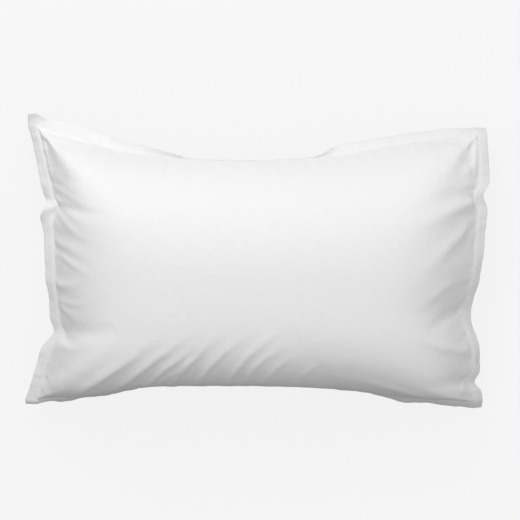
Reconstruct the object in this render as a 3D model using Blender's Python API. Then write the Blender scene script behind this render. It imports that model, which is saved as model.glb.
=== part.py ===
"""A pillowcase filled by its pillow, lying on its back, in metres with +Z up.

The case is one filled solid: a front panel and a back panel of cotton that meet in a topstitched
seam, with a narrow flange of doubled cloth outside it. Both panels are one grid each. A point of
the grid is placed by where it lies on its panel, from the sizes and the short tables below.
"""

import math
from typing import NamedTuple

import bmesh
import bpy
import numpy as np

NAME = "pillowcase"
MM = 0.001

# Driving sizes, in millimetres.
FLANGE_WIDTH = 20.0
FLANGE_THICKNESS = 2.0
CROWN_TOP = 184.0
# The back panel would sag this far below the floor. The floor flattens it there.
BACK_SAG = -16.0
COTTON_WHITE = (0.90, 0.90, 0.90, 1.0)

# How quickly the seam's buckles die out across the panel. 1 would carry them to the other side.
BUCKLE_FADE = 7.0
# Where the case is fullest, as a share of the way from its left side and from its lower one.
CROWN_ACROSS = 0.5
CROWN_UP = 0.46
# How sharply the banks of two sides meet in the hip that runs in from each corner.
HIP = 4.0
# How far from its corners a side has taken on the section of its middle.
END_SPAN = 150.0
# Where the front panel swells out past its seam most, as a share of the panel, and how evenly it
# does so between the corners.
SWELL_PLACE = 0.05
SWELL_SQUARENESS = 6.0

# A fold's width at its start and what it gains by its end, as shares of its half width.
FOLD_START_WIDTH = 0.6
FOLD_WIDENING = 0.8
# How far before its start a fold begins to rise, how long that takes, where it has died out, as
# shares of its length, and how softly it fades.
FOLD_LEAD = 0.25
FOLD_RISE = 0.35
FOLD_END = 1.15
FOLD_SOFTNESS = 0.8
# The fullness at which folds reach their whole height. Nearer the seam they are lower.
FOLD_FULLNESS = 0.25

# Patches of cloth along the panel, up the panel and across the flange, and how much closer
# together the panel's grid lines are at the seam.
PANEL_COLUMNS = 54
PANEL_ROWS = 46
FLANGE_STEPS = 1
COLUMN_CROWDING = 0.70
ROW_CROWDING = 0.45


class Corner(NamedTuple):
    """A corner of the topstitched seam, in millimetres."""

    x: float
    y: float
    z: float


class Side(NamedTuple):
    """One side of the seam, from its left or lower corner to its right or upper one."""

    start: str
    end: str
    outward: tuple
    draw_in: float  # how far the filling pulls the side inwards
    deepest: float  # where it does so most, as a share of the side
    squareness: float  # 2 is a plain bow, and more keeps its middle straighter
    lift: float  # how far the side rises above the line between the corners
    bulge: float  # how far the front panel swells out past the seam
    # At its start, in its middle and at its end: how flat the crown stays before it falls to this
    # side, and how it meets the seam, from 0, a wall, over 1, a wedge, to a hollow foot.
    roundness: tuple
    foot: tuple


class Buckle(NamedTuple):
    """A place where the seam folds inwards because its cloth is longer than the filled side."""

    side: str
    at: float  # share of the side, from its start
    depth: float
    half_width: float
    lift: float


class Droop(NamedTuple):
    """How steeply the flange points below level at one place of a side, in degrees."""

    side: str
    at: float
    angle: float


class Fold(NamedTuple):
    """A soft fold of a panel along a line in the plan view; a trough has a negative height."""

    x: float
    y: float
    to_x: float
    to_y: float
    half_width: float
    height: float


CORNERS = {
    "low_left": Corner(-347.0, -218.0, 48.0),
    "low_right": Corner(351.0, -222.0, 44.0),
    "high_left": Corner(-345.0, 214.0, 56.0),
    "high_right": Corner(348.0, 199.0, 52.0),
}

SIDES = {
    "bottom": Side(
        "low_left", "low_right", (0, -1, 0), 25.0, 0.44, 2.4, 26.0, 8.0, (4.3, 4.4, 4.3), (0.75, 0.60, 0.42)
    ),
    "top": Side(
        "high_left", "high_right", (0, 1, 0), 50.0, 0.43, 2.0, 38.0, 0.0, (2.4, 2.2, 2.2), (1.0, 1.0, 1.0)
    ),
    "left": Side(
        "low_left", "high_left", (-1, 0, 0), 33.0, 0.47, 2.4, 34.0, 0.0, (5.5, 5.4, 3.2), (1.25, 1.2, 0.92)
    ),
    "right": Side(
        "low_right", "high_right", (1, 0, 0), 5.0, 0.40, 2.0, 36.0, 0.0, (4.9, 4.9, 2.9), (1.3, 1.3, 1.0)
    ),
}

BUCKLES = (
    Buckle("left", 0.245, 12.0, 16.0, 4.0),
    Buckle("left", 0.300, 8.0, 40.0, 0.0),
    Buckle("left", 0.708, 10.0, 10.0, 7.0),
    Buckle("left", 0.775, 3.0, 30.0, 0.0),
    Buckle("left", 0.650, -2.0, 14.0, 0.0),
    Buckle("right", 0.060, 12.0, 11.0, 3.0),
    Buckle("right", 0.335, 17.0, 42.0, -6.0),
    Buckle("right", 0.775, 10.0, 13.0, 9.0),
    Buckle("right", 0.850, -9.0, 86.0, 0.0),
    Buckle("top", 0.090, -7.0, 48.0, 0.0),
    Buckle("top", 0.850, -8.0, 86.0, 0.0),
    Buckle("bottom", 0.120, -11.0, 64.0, 0.0),
    Buckle("bottom", 0.850, -7.0, 76.0, 0.0),
)

DROOPS = (
    Droop("bottom", 0.00, 36.0),
    Droop("bottom", 0.05, 63.0),
    Droop("bottom", 0.11, 80.0),
    Droop("bottom", 0.50, 85.0),
    Droop("bottom", 0.75, 78.0),
    Droop("bottom", 0.88, 60.0),
    Droop("bottom", 1.00, 52.0),
    Droop("top", 0.00, 2.0),
    Droop("top", 0.05, 10.0),
    Droop("top", 0.12, 10.0),
    Droop("top", 0.22, 44.0),
    Droop("top", 0.38, 85.0),
    Droop("top", 0.62, 85.0),
    Droop("top", 0.70, 37.0),
    Droop("top", 1.00, 45.0),
    Droop("left", 0.00, 19.0),
    Droop("left", 0.35, 40.0),
    Droop("left", 0.63, 30.0),
    Droop("left", 0.69, 4.0),
    Droop("left", 0.74, 36.0),
    Droop("left", 1.00, 38.0),
    Droop("right", 0.00, 44.0),
    Droop("right", 0.20, 47.0),
    Droop("right", 0.50, 41.0),
    Droop("right", 0.80, 30.0),
    Droop("right", 1.00, 29.0),
)

# The main folds of the front panel, each from where it leaves the seam to where it dies out.
FRONT_FOLDS = (
    Fold(-324, 190, -274, 115, 14.0, -2.0),
    Fold(-318, 99, -256, 48, 8.8, 3.0),
    Fold(-321, 34, -234, -9, 9.5, 2.6),
    Fold(-311, -65, -268, -93, 7.5, 2.4),
    Fold(-310, -96, -256, -103, 10.0, -2.6),
    Fold(-327, -199, -212, -118, 16.0, 2.6),
    Fold(-268, -203, -144, -115, 9.2, 3.4),
    Fold(-209, -196, -94, -109, 7.5, 3.1),
    Fold(-169, -194, -78, -124, 7.5, 2.8),
    Fold(-131, -193, -44, -103, 7.5, 2.4),
    Fold(-88, -190, -7, -109, 7.5, 2.7),
    Fold(-41, -186, 49, -99, 7.5, 2.2),
    Fold(260, -211, 130, -177, 7.5, 2.0),
    Fold(319, 180, 266, 84, 23.0, -3.0),
    Fold(350, 95, 242, 43, 13.0, 3.3),
    Fold(325, 47, 248, -25, 13.5, 2.7),
    Fold(338, -75, 260, -121, 13.5, -3.0),
    Fold(341, -144, 235, -109, 12.0, 2.5),
    Fold(363, -227, 254, -183, 11.5, 3.0),
)


def graded_lines(count, crowding):
    """Grid lines from 0 to 1 that crowd together towards both ends."""
    even = np.linspace(0.0, 1.0, count + 1)
    crowded = (1.0 - np.cos(np.pi * even)) / 2.0
    return even + crowding * (crowded - even)


def panel_lines(count, crowding):
    """Every grid line's place on the panel, from 0 to 1, and on the flange, from -1 to 1."""
    steps = np.arange(1, FLANGE_STEPS + 1) / FLANGE_STEPS
    inside = graded_lines(count, crowding)
    place = np.concatenate([np.zeros(FLANGE_STEPS), inside, np.ones(FLANGE_STEPS)])
    flange = np.concatenate([-steps[::-1], np.zeros(count + 1), steps])
    return place, flange


def corner_point(name):
    """A seam corner as an array."""
    return np.array(CORNERS[name])


def bow(share, squareness, deepest=0.5):
    """0 at both ends of a side and 1 where it is deepest."""
    even = share ** (math.log(0.5) / math.log(deepest))
    return 1.0 - np.abs(2.0 * even - 1.0) ** squareness


def shifted(side, inwards, up):
    """A move of each point inwards from a side and upwards."""
    outward, level = np.array(side.outward, float), np.array((0.0, 0.0, 1.0))
    return up[:, None] * level - inwards[:, None] * outward


def seam(side_name, share):
    """Points of one side of the seam: a straight line, bowed inwards and up."""
    side = SIDES[side_name]
    start, end = corner_point(side.start), corner_point(side.end)
    inwards = side.draw_in * bow(share, side.squareness, side.deepest)
    up = side.lift * bow(share, side.squareness)
    return start + share[:, None] * (end - start) + shifted(side, inwards, up)


def buckled(side_name, share, away):
    """How far the buckles of one side move points that lie a share of the panel away from it."""
    side = SIDES[side_name]
    length = np.linalg.norm(corner_point(side.end) - corner_point(side.start))
    inwards, up = np.zeros_like(share), np.zeros_like(share)
    for buckle in BUCKLES:
        if buckle.side == side_name:
            dent = np.exp(-(((share - buckle.at) * length / buckle.half_width) ** 2))
            inwards += buckle.depth * dent
            up += buckle.lift * dent
    fade = (1.0 - away) ** BUCKLE_FADE
    return shifted(side, inwards * fade, up * fade)


def flange_directions(side_name, share):
    """The way the flange points from each place of a side, and the way its front layer faces."""
    rows = [droop for droop in DROOPS if droop.side == side_name]
    places = np.array([droop.at for droop in rows])
    angles = np.radians([droop.angle for droop in rows])
    nearest = np.interp(share, places, angles)
    outward, up = np.array(SIDES[side_name].outward, float), np.array((0.0, 0.0, 1.0))
    cosine, sine = np.cos(nearest)[:, None], np.sin(nearest)[:, None]
    return cosine * outward - sine * up, cosine * up + sine * outward


def mid_surface(across, up):
    """The surface that the seam spans, as a blend of its four sides."""
    left, right = seam("left", up), seam("right", up)
    bottom, top = seam("bottom", across), seam("top", across)
    u, v = across[:, None], up[:, None]
    corners = [
        ((1 - u) * (1 - v), "low_left"),
        (u * (1 - v), "low_right"),
        ((1 - u) * v, "high_left"),
        (u * v, "high_right"),
    ]
    between = sum(weight * corner_point(name) for weight, name in corners)
    blend = (1 - v) * bottom + v * top + (1 - u) * left + u * right - between
    blend += buckled("left", up, across) + buckled("right", up, 1 - across)
    return blend + buckled("bottom", across, up) + buckled("top", across, 1 - up)


def eased(value):
    """0 below 0 and 1 above 1, joined by a curve that is level at both."""
    held = np.clip(value, 0.0, 1.0)
    return held * held * (3.0 - 2.0 * held)


def along_side(side, values, along):
    """A side's values at its start, in its middle and at its end, read at places along it."""
    start, middle, end = values
    span = END_SPAN / np.linalg.norm(corner_point(side.end) - corner_point(side.start))
    from_start = (start - middle) * eased(1.0 - along / span)
    return middle + from_start + (end - middle) * eased(1.0 - (1.0 - along) / span)


def section(share, along, crown_at, low_side, high_side):
    """A section of the filling: 0 at the seams of two opposite sides and 1 at the crown.

    share runs from one of those sides to the other, and along says where on them it is cut.
    """
    low, high = SIDES[low_side], SIDES[high_side]
    is_low = share < crown_at
    away = np.where(is_low, 1.0 - share / crown_at, (share - crown_at) / (1.0 - crown_at))
    roundness, foot = (
        np.where(is_low, along_side(low, of_low, along), along_side(high, of_high, along))
        for of_low, of_high in ((low.roundness, high.roundness), (low.foot, high.foot))
    )
    return np.clip(1.0 - away**roundness, 0.0, 1.0) ** foot


def fullness(across, up):
    """How full the case is: 0 at the seam and 1 where the filling is thickest.

    It is the lesser of both sections, rounded where they meet, so that the banks of two sides
    join in a hip that runs in from each corner.
    """
    long_way = section(across, up, CROWN_ACROSS, "left", "right")
    short_way = section(up, across, CROWN_UP, "bottom", "top")
    long_way, short_way = (np.maximum(way, 1e-4) ** -HIP for way in (long_way, short_way))
    return (long_way + short_way - 1.0) ** (-1.0 / HIP)


def swell(share, side_name):
    """How far a section swells past a side's seam, at shares of the panel from that side."""
    place = share / SWELL_PLACE
    return SIDES[side_name].bulge * place * np.exp(1.0 - place)


def fold_height(x, y, folds):
    """The height that the folds add at points of the plan view.

    A fold is a soft ridge. It is full near the seam, and it fades and widens towards its end.
    """
    total = np.zeros_like(x)
    for fold in folds:
        run = np.array((fold.to_x - fold.x, fold.to_y - fold.y), float)
        length = np.linalg.norm(run)
        ahead = run / length
        from_x, from_y = x - fold.x, y - fold.y
        along = (from_x * ahead[0] + from_y * ahead[1]) / length
        aside = from_y * ahead[0] - from_x * ahead[1]
        width = fold.half_width * (FOLD_START_WIDTH + FOLD_WIDENING * np.clip(along, 0.0, 1.0))
        risen = np.clip((along + FOLD_LEAD) / FOLD_RISE, 0.0, 1.0)
        fade = (risen * np.clip(FOLD_END - along, 0.0, 1.0)) ** FOLD_SOFTNESS
        total += fold.height * fade * np.exp(-((aside / width) ** 2))
    return total


def case_points(across, up, out_across, out_up, is_front):
    """Places every grid point of both panels, in millimetres.

    across and up say where a point lies on its panel, and out_across and out_up how far out it
    lies on the flange, from -1 at the left or lower hem to 1 at the right or upper one.
    """
    base = mid_surface(across, up)
    facing = np.zeros_like(base)
    half_thickness = FLANGE_THICKNESS / 2
    for side_name, share, reach in (
        ("left", up, np.clip(-out_across, 0, 1)),
        ("right", up, np.clip(out_across, 0, 1)),
        ("bottom", across, np.clip(-out_up, 0, 1)),
        ("top", across, np.clip(out_up, 0, 1)),
    ):
        points_out, faces = flange_directions(side_name, share)
        base += FLANGE_WIDTH * reach[:, None] * points_out
        on_seam = {"left": across == 0, "right": across == 1, "bottom": up == 0, "top": up == 1}
        facing += on_seam[side_name][:, None] * faces
    inside = ~facing.any(axis=1)
    facing[inside] = (0.0, 0.0, 1.0)
    facing /= np.linalg.norm(facing, axis=1)[:, None]

    side_sign = np.where(is_front, 1.0, -1.0)
    points = base + (side_sign * half_thickness)[:, None] * facing

    full = fullness(across, up)
    front_z = base[:, 2] + full * (CROWN_TOP - base[:, 2]) + half_thickness
    back_z = base[:, 2] + full * (BACK_SAG - base[:, 2]) - half_thickness
    points[:, 2] = np.where(inside, np.where(is_front, front_z, back_z), points[:, 2])
    at_front = inside & is_front
    swell_across = swell(1 - across, "right") - swell(across, "left")
    swell_up = (swell(1 - up, "top") - swell(up, "bottom")) * bow(across, SWELL_SQUARENESS)
    points[:, 0] += at_front * swell_across
    points[:, 1] += at_front * swell_up
    rise = np.clip(full / FOLD_FULLNESS, 0.0, 1.0)
    points[:, 2] += at_front * rise * fold_height(points[:, 0], points[:, 1], FRONT_FOLDS)
    points[:, 2] = np.maximum(points[:, 2], 0.0)
    return points


def flat_case():
    """A flat blank of the two panels: a square grid, doubled, and closed round its hem."""
    mesh = bmesh.new()
    bmesh.ops.create_grid(
        mesh,
        x_segments=PANEL_COLUMNS + 2 * FLANGE_STEPS,
        y_segments=PANEL_ROWS + 2 * FLANGE_STEPS,
        size=1.0,
    )
    bmesh.ops.solidify(mesh, geom=mesh.faces[:], thickness=0.5)
    return mesh


def shape_case(mesh):
    """Moves every point of the flat blank to its place on the filled case."""
    flat = np.array([vertex.co for vertex in mesh.verts])
    column_place, column_flange = panel_lines(PANEL_COLUMNS, COLUMN_CROWDING)
    row_place, row_flange = panel_lines(PANEL_ROWS, ROW_CROWDING)
    column = np.rint((flat[:, 0] + 1.0) / 2.0 * (len(column_place) - 1)).astype(int)
    row = np.rint((flat[:, 1] + 1.0) / 2.0 * (len(row_place) - 1)).astype(int)
    middle = (flat[:, 2].max() + flat[:, 2].min()) / 2.0
    points = MM * case_points(
        column_place[column],
        row_place[row],
        column_flange[column],
        row_flange[row],
        flat[:, 2] > middle,
    )
    low, high = points.min(axis=0), points.max(axis=0)
    points[:, :2] -= (low[:2] + high[:2]) / 2.0
    for vertex, point in zip(mesh.verts, points):
        vertex.co = point
    bmesh.ops.recalc_face_normals(mesh, faces=mesh.faces[:])


def cotton():
    """Plain white woven cotton."""
    material = bpy.data.materials.new("white_cotton")
    material.use_nodes = True
    surface = material.node_tree.nodes["Principled BSDF"]
    surface.inputs["Base Color"].default_value = COTTON_WHITE
    surface.inputs["Roughness"].default_value = 0.85
    surface.inputs["Metallic"].default_value = 0.0
    return material


def build_pillowcase(collection):
    """The filled case, with its flange, as one closed solid."""
    blank = flat_case()
    shape_case(blank)
    data = bpy.data.meshes.new(NAME)
    blank.to_mesh(data)
    blank.free()
    data.materials.append(cotton())
    data.shade_smooth()
    data.set_sharp_from_angle(angle=math.radians(60.0))
    case = bpy.data.objects.new(NAME, data)
    collection.objects.link(case)
    return case


def main():
    """Clears the scene and builds the pillowcase in a collection of its own."""
    for item in list(bpy.data.objects):
        bpy.data.objects.remove(item)
    collection = bpy.data.collections.new(NAME)
    bpy.context.scene.collection.children.link(collection)
    build_pillowcase(collection)


main()
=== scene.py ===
"""Dresses the filled pillowcase: creased white cotton, its topstitched flange and the studio.

The cloth starts on the solid's own form, which `FilledForm` repeats from its named sizes. Both
panels are then settled as cloth over their filling, between seams that hold still. Lengths are in
millimetres until a mesh is made, and in metres from there on.
"""

from __future__ import annotations

import logging
import math
from dataclasses import dataclass
from enum import Enum

import bpy
import numpy as np
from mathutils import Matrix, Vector

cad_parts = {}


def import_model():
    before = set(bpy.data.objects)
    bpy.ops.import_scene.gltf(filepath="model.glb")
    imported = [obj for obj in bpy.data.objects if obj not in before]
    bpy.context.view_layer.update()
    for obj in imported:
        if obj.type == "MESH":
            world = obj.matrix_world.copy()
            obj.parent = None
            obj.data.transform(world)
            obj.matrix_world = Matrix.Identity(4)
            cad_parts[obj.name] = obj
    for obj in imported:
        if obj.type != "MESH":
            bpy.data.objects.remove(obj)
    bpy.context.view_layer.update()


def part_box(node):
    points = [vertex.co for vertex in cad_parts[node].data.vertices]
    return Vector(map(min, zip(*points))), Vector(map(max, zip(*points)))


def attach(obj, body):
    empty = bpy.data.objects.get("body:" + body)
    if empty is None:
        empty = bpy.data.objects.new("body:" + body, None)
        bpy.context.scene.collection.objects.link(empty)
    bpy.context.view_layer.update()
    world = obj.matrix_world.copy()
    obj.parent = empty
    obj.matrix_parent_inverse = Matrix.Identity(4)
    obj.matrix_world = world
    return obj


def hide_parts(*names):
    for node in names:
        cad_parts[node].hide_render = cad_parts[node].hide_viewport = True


LOG = logging.getLogger("pillowcase")
MM = 0.001
NODE = "pillowcase"
UV_NAME = "OFBake"
STITCH_ATTRIBUTE = "from_stitch"
UP = np.array((0.0, 0.0, 1.0))
LEAST_LENGTH = 1e-9  # what a vector of length 0 is divided by

# How far a crease's line wavers and over what length, and its width where it starts, as a share.
CREASE_WAVER = 0.7
CREASE_WAVE = 42.0
CREASE_START = 0.6
# How far before its start a crease rises, where it has died out and how long it takes to, as
# shares of its length.
CREASE_LEAD = 0.25
CREASE_END = 1.15
CREASE_FADE = 0.95

# The lengths of a ripple's sines, as shares of its wave, and what brings their sum to about 1.
RIPPLE_WAVES = (0.61, 0.83, 1.0, 1.27, 1.73)
RIPPLE_SCALE = 3.0

Points = np.ndarray
Shares = np.ndarray
Box = tuple[Vector, Vector]


# Sizes of the form --------------------


class Corner(Enum):
    """The seam's four corners, in millimetres from the middle of the case and above the floor."""

    LOW_LEFT = (-347.0, -218.0, 48.0)
    LOW_RIGHT = (351.0, -222.0, 44.0)
    HIGH_LEFT = (-345.0, 214.0, 56.0)
    HIGH_RIGHT = (348.0, 199.0, 52.0)


class Side(Enum):
    """The four sides of the case, each with the way that it faces."""

    BOTTOM = (0.0, -1.0, 0.0)
    TOP = (0.0, 1.0, 0.0)
    LEFT = (-1.0, 0.0, 0.0)
    RIGHT = (1.0, 0.0, 0.0)


@dataclass(frozen=True)
class SideForm:
    """How the filling shapes one side of the seam, which runs rightwards or upwards."""

    start: Corner
    end: Corner
    draw_in: float  # how far the filling pulls the side inwards
    deepest: float  # where it does so most, as a share of the side
    squareness: float  # 2 is a plain bow, and more keeps its middle straighter
    lift: float  # how far the side rises above the line between its corners
    bulge: float  # how far the front panel swells out past the seam
    # At its start, in its middle and at its end: how flat the crown stays before it falls to this
    # side, and how it meets the seam, from 0, a wall, over 1, a wedge, to a hollow foot.
    roundness: tuple[float, float, float]
    foot: tuple[float, float, float]


@dataclass(frozen=True)
class Buckle:
    """A place where the seam folds inwards because its cloth is longer than the filled side."""

    at: float  # share of the side, from its start
    depth: float  # how far it draws the seam inwards, or outwards if less than 0
    half_width: float
    lift: float

    def dent(self, share: Shares, length: float) -> Shares:
        """A bell curve along a side of this length, 1 at the buckle and 0 far from it."""
        return np.exp(-(((share - self.at) * length / self.half_width) ** 2))


@dataclass(frozen=True)
class Droop:
    """How the flange hangs at one place of a side, in degrees below level."""

    at: float  # share of the side, from its start
    angle: float  # at the seam
    curl: float  # how much steeper it has become at its hem


@dataclass(frozen=True)
class Crease:
    """A soft fold along a bowed line in the plan view; a trough has a negative height."""

    x: float
    y: float
    to_x: float
    to_y: float
    bend: float  # how far the middle of its line bows out to its left
    left: float  # its half width on the left of its line
    right: float  # and on the right
    height: float

    def height_at(self, x: np.ndarray, y: np.ndarray) -> np.ndarray:
        """What the crease adds to the height at points of the plan view.

        Across its line it is a bell curve with its own width on each side. Along it, it rises
        fast near the seam, then widens and fades towards its end. Its line wavers a little.

        Args:
            x: rightward places, in millimetres.
            y: upward places, in millimetres.

        Returns:
            The added height at each place.
        """
        run = np.array((self.to_x - self.x, self.to_y - self.y))
        length = float(np.linalg.norm(run))
        ahead = run / length
        along = ((x - self.x) * ahead[0] + (y - self.y) * ahead[1]) / length
        aside = (y - self.y) * ahead[0] - (x - self.x) * ahead[1]
        share = np.clip(along, 0.0, 1.0)
        aside -= self.bend * bow(share, 2.0)
        aside += CREASE_WAVER * ripple(along * length, CREASE_WAVE, int(abs(self.x * self.y)))
        width = np.where(aside > 0.0, self.left, self.right)
        width = width * (CREASE_START + (1.0 - CREASE_START) * share)
        strength = eased((along + CREASE_LEAD) / CREASE_LEAD)
        strength *= eased((CREASE_END - along) / CREASE_FADE)
        return self.height * strength * np.exp(-((aside / width) ** 2))


SIDE_FORMS = {
    Side.BOTTOM: SideForm(
        Corner.LOW_LEFT, Corner.LOW_RIGHT, 25, 0.44, 2.4, 26, 8, (3.5, 4.4, 4.0), (0.72, 0.60, 0.44)
    ),
    Side.TOP: SideForm(
        Corner.HIGH_LEFT, Corner.HIGH_RIGHT, 50, 0.43, 2.0, 38, 0, (2.4, 2.2, 2.2), (1.0, 1.0, 1.0)
    ),
    Side.LEFT: SideForm(
        Corner.LOW_LEFT, Corner.HIGH_LEFT, 33, 0.47, 2.4, 34, 0, (5.5, 5.4, 3.2), (1.25, 1.2, 0.92)
    ),
    Side.RIGHT: SideForm(
        Corner.LOW_RIGHT, Corner.HIGH_RIGHT, 5, 0.40, 2.0, 36, 0, (4.9, 4.9, 2.9), (1.3, 1.3, 1.0)
    ),
}

BUCKLES = {
    Side.BOTTOM: (
        Buckle(0.120, -11.0, 64.0, 0.0), Buckle(0.850, -7.0, 76.0, 0.0),
    ),
    Side.TOP: (
        Buckle(0.090, -7.0, 48.0, 0.0), Buckle(0.850, -8.0, 86.0, 0.0),
    ),
    Side.LEFT: (
        Buckle(0.245, 12.0, 16.0, 4.0), Buckle(0.300, 8.0, 40.0, 0.0), Buckle(0.708, 10.0, 10.0, 7.0),
        Buckle(0.775, 3.0, 30.0, 0.0), Buckle(0.650, -2.0, 14.0, 0.0),
    ),
    Side.RIGHT: (
        Buckle(0.073, 12.0, 12.0, 5.0), Buckle(0.335, 17.0, 42.0, -6.0), Buckle(0.775, 10.0, 13.0, 9.0),
        Buckle(0.850, -9.0, 86.0, 0.0),
    ),
}

DROOPS = {
    Side.BOTTOM: (
        Droop(0.00, 6.0, 140.0), Droop(0.05, 56.0, 14.0), Droop(0.11, 78.0, 4.0),
        Droop(0.50, 84.0, 4.0), Droop(0.75, 74.0, 8.0), Droop(0.88, 54.0, 12.0),
        Droop(1.00, 40.0, 24.0),
    ),
    Side.TOP: (
        Droop(0.00, 16.0, -42.0), Droop(0.05, 8.0, 8.0), Droop(0.12, 6.0, 8.0), Droop(0.22, 40.0, 8.0),
        Droop(0.38, 88.0, 4.0), Droop(0.62, 88.0, 4.0), Droop(0.70, 34.0, 6.0), Droop(1.00, 40.0, 10.0),
    ),
    Side.LEFT: (
        Droop(0.00, 16.0, 6.0), Droop(0.35, 38.0, 4.0), Droop(0.63, 28.0, 4.0), Droop(0.69, 0.0, 4.0),
        Droop(0.74, 34.0, 6.0), Droop(1.00, 34.0, 8.0),
    ),
    Side.RIGHT: (
        Droop(0.00, 42.0, 4.0), Droop(0.20, 46.0, 2.0), Droop(0.50, 40.0, 2.0), Droop(0.80, 28.0, 4.0),
        Droop(1.00, 26.0, 6.0),
    ),
}

# The photo's folds, each from where it leaves the seam to where it dies out. The columns are
# x, y, to_x, to_y, bend, left, right and height, as `Crease` names them.
CREASE_ROWS = (
    # Left end, from the upper corner down.
    (-332, 186, -283, 109, -4, 13, 15, -2.6),
    (-302, 124, -249, 98, -1, 11, 7, 1.3),
    (-311, 115, -246, 76, 2, 9, 6, 1.2),
    (-318, 99, -256, 48, 2, 11, 6.5, 2.7),
    (-302, 71, -234, 26, -8, 9, 7, 1.5),
    (-321, 34, -234, -9, 2, 12, 8, 2.0),
    (-293, 3, -249, -23, -1, 7, 5, 1.8),
    (-315, -36, -259, -28, -6, 9, 7, 1.8),
    (-296, -62, -246, -62, -5, 7, 6, 1.5),
    (-311, -65, -268, -93, -2, 9, 6, 2.4),
    (-310, -96, -256, -103, -27, 12, 8, -2.6),
    (-305, -132, -231, -96, -15, 9, 13, 1.4),
    (-327, -199, -212, -118, -6, 16, 16, 2.6),
    # Lower side, from the left corner to the right one.
    (-268, -203, -144, -115, -3, 12, 6.5, 3.4),
    (-209, -196, -94, -109, 0, 9, 4.8, 3.1),
    (-169, -194, -78, -124, 2, 7, 4.4, 2.8),
    (-131, -193, -44, -103, 1, 8, 4.2, 2.4),
    (-150, -193, -82, -143, 1, 5, 4.0, 1.6),
    (-88, -190, -7, -109, 6, 9, 4.8, 2.7),
    (-41, -186, 49, -99, 7, 8, 5.2, 2.2),
    (-16, -186, 52, -127, 7, 6, 4.4, 1.9),
    (15, -186, 64, -143, 4, 6, 4.4, 1.7),
    (64, -186, 114, -149, 4, 6, 5, 1.3),
    (260, -211, 130, -177, -3, 7, 6, 2.0),
    # Right end, from the upper corner down.
    (347, 186, 266, 65, 5, 22, 44, -5.2),
    (350, 152, 301, 115, 1, 8, 10, 1.1),
    (350, 112, 269, 109, 2, 12, 12, -0.4),
    (350, 95, 242, 43, -4, 12, 14, 3.0),
    (325, 47, 248, -25, 2, 13, 14, 2.7),
    (347, 47, 325, -12, 0, 9, 9, 0.8),
    (297, -40, 235, -84, -1, 10, 11, 1.5),
    (338, -75, 260, -121, -10, 15, 12, -3.0),
    (341, -144, 235, -109, 6, 9, 15, 2.5),
    (363, -219, 254, -177, 0, 9, 14, 3.2),
    # Upper side.
    (-224, 185, -181, 157, 1, 7, 5, 1.4),
    (-190, 180, -153, 151, 1, 6, 5, 1.2),
)
FRONT_CREASES = tuple(Crease(*row) for row in CREASE_ROWS)


# Helpers on arrays --------------------


def bow(share: Shares, squareness: float, deepest: float = 0.5) -> Shares:
    """0 at both ends of a side and 1 where it is deepest.

    The share is first bent so that its half lies at the deepest place. The curve is then 1 less
    the distance from that place, raised to the squareness.

    Args:
        share: places along the side, from 0 to 1.
        squareness: 2 for a plain bow, and more for a flatter middle.
        deepest: where the bow is deepest, as a share of the side.

    Returns:
        The bow's height at each place.
    """
    even = share ** (math.log(0.5) / math.log(deepest))
    return 1.0 - np.abs(2.0 * even - 1.0) ** squareness


def eased(value: np.ndarray) -> np.ndarray:
    """0 below 0 and 1 above 1, joined by a curve that is level at both."""
    held = np.clip(value, 0.0, 1.0)
    return held * held * (3.0 - 2.0 * held)


def crowded(count: int, crowding: float) -> Shares:
    """Places from 0 to 1, one more than the count, that lie closer together at both ends."""
    even = np.linspace(0.0, 1.0, count + 1)
    return even - crowding * np.sin(2.0 * math.pi * even) / (2.0 * math.pi)


def read_between(share: Shares, places: list[float], values: list[float]) -> np.ndarray:
    """Values read between listed places, along curves that are level at each of them.

    Args:
        share: the places to read at.
        places: the listed places, in rising order.
        values: the value at each of them.

    Returns:
        A value for each place to read at.
    """
    first = np.clip(np.searchsorted(places, share, side="right") - 1, 0, len(places) - 2)
    low, high = np.take(places, first), np.take(places, first + 1)
    rise = np.take(values, first + 1) - np.take(values, first)
    return np.take(values, first) + rise * eased((share - low) / (high - low))


def lengths_along(points: Points, axis: int) -> np.ndarray:
    """The length run so far along each line of a grid of points, from 0 at its first one."""
    steps = np.linalg.norm(np.diff(points, axis=axis), axis=-1)
    return np.concatenate([np.zeros_like(np.take(steps, [0], axis)), steps.cumsum(axis)], axis)


def unit(vectors: Points) -> Points:
    """Vectors of length 1 that point the same ways."""
    return vectors / np.maximum(np.linalg.norm(vectors, axis=-1, keepdims=True), LEAST_LENGTH)


def facing_of(grid: Points) -> Points:
    """Which way a grid of points faces: its step rightwards crossed with its step upwards."""
    return unit(np.cross(np.gradient(grid, axis=1), np.gradient(grid, axis=0)))


def smoothing_weights(count: int, wanted: int) -> np.ndarray:
    """A matrix that draws a smooth curve through evenly spaced values.

    Each wanted place takes its four nearest values by the Catmull-Rom rule, which passes through
    every value. Past an end, the last two values are carried on in a straight line.

    Args:
        count: how many values there are.
        wanted: how many evenly spaced places to read, both ends among them.

    Returns:
        A matrix of wanted rows and count columns.
    """
    place = np.linspace(0.0, count - 1.0, wanted)
    first = np.clip(np.floor(place).astype(int), 0, count - 2)
    t = place - first
    rule = (
        -0.5 * t + t**2 - 0.5 * t**3,
        1.0 - 2.5 * t**2 + 1.5 * t**3,
        0.5 * t + 2.0 * t**2 - 1.5 * t**3,
        -0.5 * t**2 + 0.5 * t**3,
    )
    spread = np.zeros((wanted, count + 2))
    rows = np.arange(wanted)
    for step, share in enumerate(rule):
        np.add.at(spread, (rows, first + step), share)
    weights = spread[:, 1:-1].copy()
    weights[:, 0] += 2.0 * spread[:, 0]
    weights[:, 1] -= spread[:, 0]
    weights[:, -1] += 2.0 * spread[:, -1]
    weights[:, -2] -= spread[:, -1]
    return weights


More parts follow.
